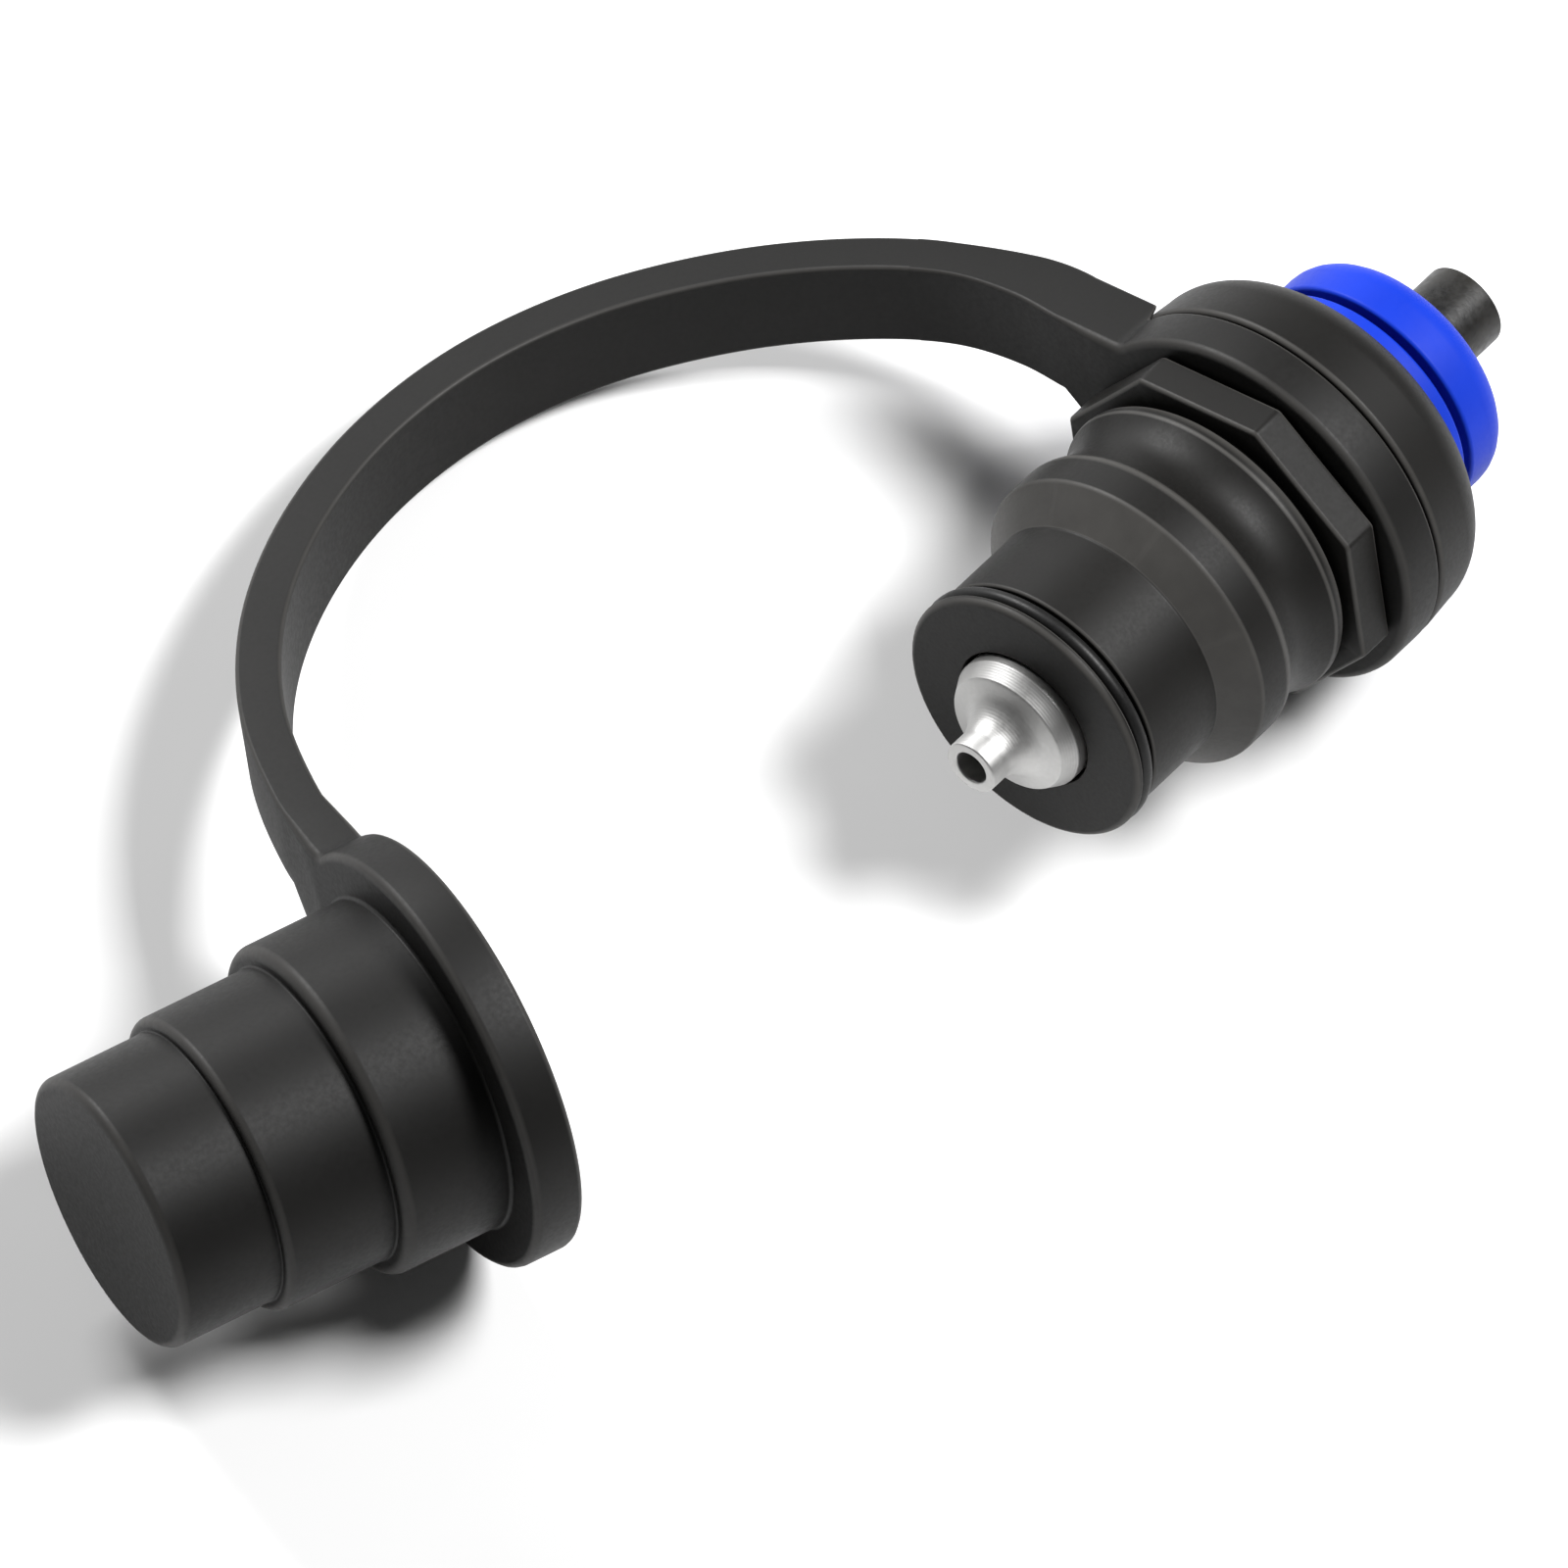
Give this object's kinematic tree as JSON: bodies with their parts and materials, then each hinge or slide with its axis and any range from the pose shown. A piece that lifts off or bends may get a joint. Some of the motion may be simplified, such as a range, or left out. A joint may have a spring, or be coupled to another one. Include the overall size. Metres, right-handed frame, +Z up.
{
  "type": "quick-release coupling plug",
  "caption": "Quick-release hose coupling plug with a sprung poppet valve, a push-in tube socket and a rubber dust cap tethered by a strap.",
  "frame": {"origin": "centre of the bounding box's base, on the surface the coupling lies on", "axes": "+Z up, +X the way the plug's nose points; the plug lies on the rims of its strap eye and rear housing, with its nose 5 degrees up, on the cap's flange and on the strap's lower edge"},
  "size_m": [0.1566, 0.0836, 0.0396],
  "materials": {
    "black_moulding": "satin black moulded plastic",
    "strap_rubber": "matte black rubber",
    "seal_rubber": "smooth black nitrile rubber",
    "satin_steel": "turned stainless steel, satin",
    "spring_steel": "bright spring steel",
    "blue_acetal": "satin blue acetal",
    "white_acetal": "natural white acetal",
    "black_nylon": "satin black nylon tube"
  },
  "bodies": {
    "plug": {"plug_body": "black_moulding", "nose_o_ring": "seal_rubber", "spigot_o_ring": "seal_rubber", "valve_guide": "white_acetal", "guide_circlip": "spring_steel", "valve_spring": "spring_steel", "rear_housing": "black_moulding", "tube_o_ring": "seal_rubber", "backup_washer": "white_acetal", "grab_ring": "spring_steel", "collet_retainer": "blue_acetal", "tube_stub": "black_nylon"},
    "poppet": {"poppet": "satin_steel", "poppet_o_ring": "seal_rubber"},
    "collet": {"release_collet": "blue_acetal"},
    "strap_eye": {"strap_eye": "strap_rubber"},
    "strap_1": {"strap_link_1": "strap_rubber"},
    "strap_2": {"strap_link_2": "strap_rubber"},
    "strap_3": {"strap_link_3": "strap_rubber"},
    "strap_4": {"strap_link_4": "strap_rubber"},
    "strap_5": {"strap_link_5": "strap_rubber"},
    "strap_6": {"strap_link_6": "strap_rubber"},
    "cap": {"dust_cap": "strap_rubber"}
  },
  "joints": [
    {"name": "poppet_slide", "type": "slide", "parent": "plug", "child": "poppet", "axis": [-0.9954, 0.0389, -0.087], "range_m": [0, 0.004], "stiffness_N_per_m": 1200, "springref_m": -0.004, "deforming": ["valve_spring"]},
    {"name": "collet_release", "type": "slide", "parent": "plug", "child": "collet", "axis": [0.9954, -0.0389, 0.087], "range_m": [0, 0.0006], "stiffness_N_per_m": 2000, "springref_m": -0.0005},
    {"name": "eye_swivel", "type": "hinge", "parent": "plug", "child": "strap_eye", "pos_m": [-0.04928, 0.02343, 0.01857], "axis": [0.9954, -0.0389, 0.087], "continuous": true},
    {"name": "strap_bend_1", "type": "hinge", "parent": "strap_eye", "child": "strap_1", "pos_m": [-0.05049, -0.00476, 0.01554], "axis": [-0.0953, -0.406, 0.9089], "range_deg": [-23.07, 7.91]},
    {"name": "strap_bend_2", "type": "hinge", "parent": "strap_1", "child": "strap_2", "pos_m": [-0.04345, -0.01932, 0.00977], "axis": [-0.0953, -0.406, 0.9089], "range_deg": [-2.43, 0.95]},
    {"name": "strap_bend_3", "type": "hinge", "parent": "strap_2", "child": "strap_3", "pos_m": [-0.03079, -0.03059, 0.00606], "axis": [-0.0953, -0.406, 0.9089], "range_deg": [-6.82, 19.82]},
    {"name": "strap_bend", "type": "hinge", "parent": "strap_3", "child": "strap_4", "pos_m": [-0.01482, -0.03714, 0.00481], "axis": [-0.0953, -0.406, 0.9089], "range_deg": [-10, 29.66], "stiffness_Nm_per_rad": 0.046},
    {"name": "strap_bend_5", "type": "hinge", "parent": "strap_4", "child": "strap_5", "pos_m": [0.00242, -0.03758, 0.00643], "axis": [-0.0953, -0.406, 0.9089], "range_deg": [-6.99, 20.33]},
    {"name": "strap_bend_6", "type": "hinge", "parent": "strap_5", "child": "strap_6", "pos_m": [0.01845, -0.03236, 0.01044], "axis": [-0.0953, -0.406, 0.9089], "range_deg": [-1.7, 0.71]},
    {"name": "strap_bend_7", "type": "hinge", "parent": "strap_6", "child": "cap", "pos_m": [0.0308, -0.02183, 0.01644], "axis": [-0.0953, -0.406, 0.9089], "range_deg": [-22.41, 7.69]}
  ],
  "couplings": [
    {"joint": "strap_bend_1", "follows": "strap_bend", "ratio": -0.7713},
    {"joint": "strap_bend_2", "follows": "strap_bend", "ratio": -0.075},
    {"joint": "strap_bend_3", "follows": "strap_bend", "ratio": 0.6617},
    {"joint": "strap_bend_5", "follows": "strap_bend", "ratio": 0.6788},
    {"joint": "strap_bend_6", "follows": "strap_bend", "ratio": -0.0507},
    {"joint": "strap_bend_7", "follows": "strap_bend", "ratio": -0.7489}
  ]
}
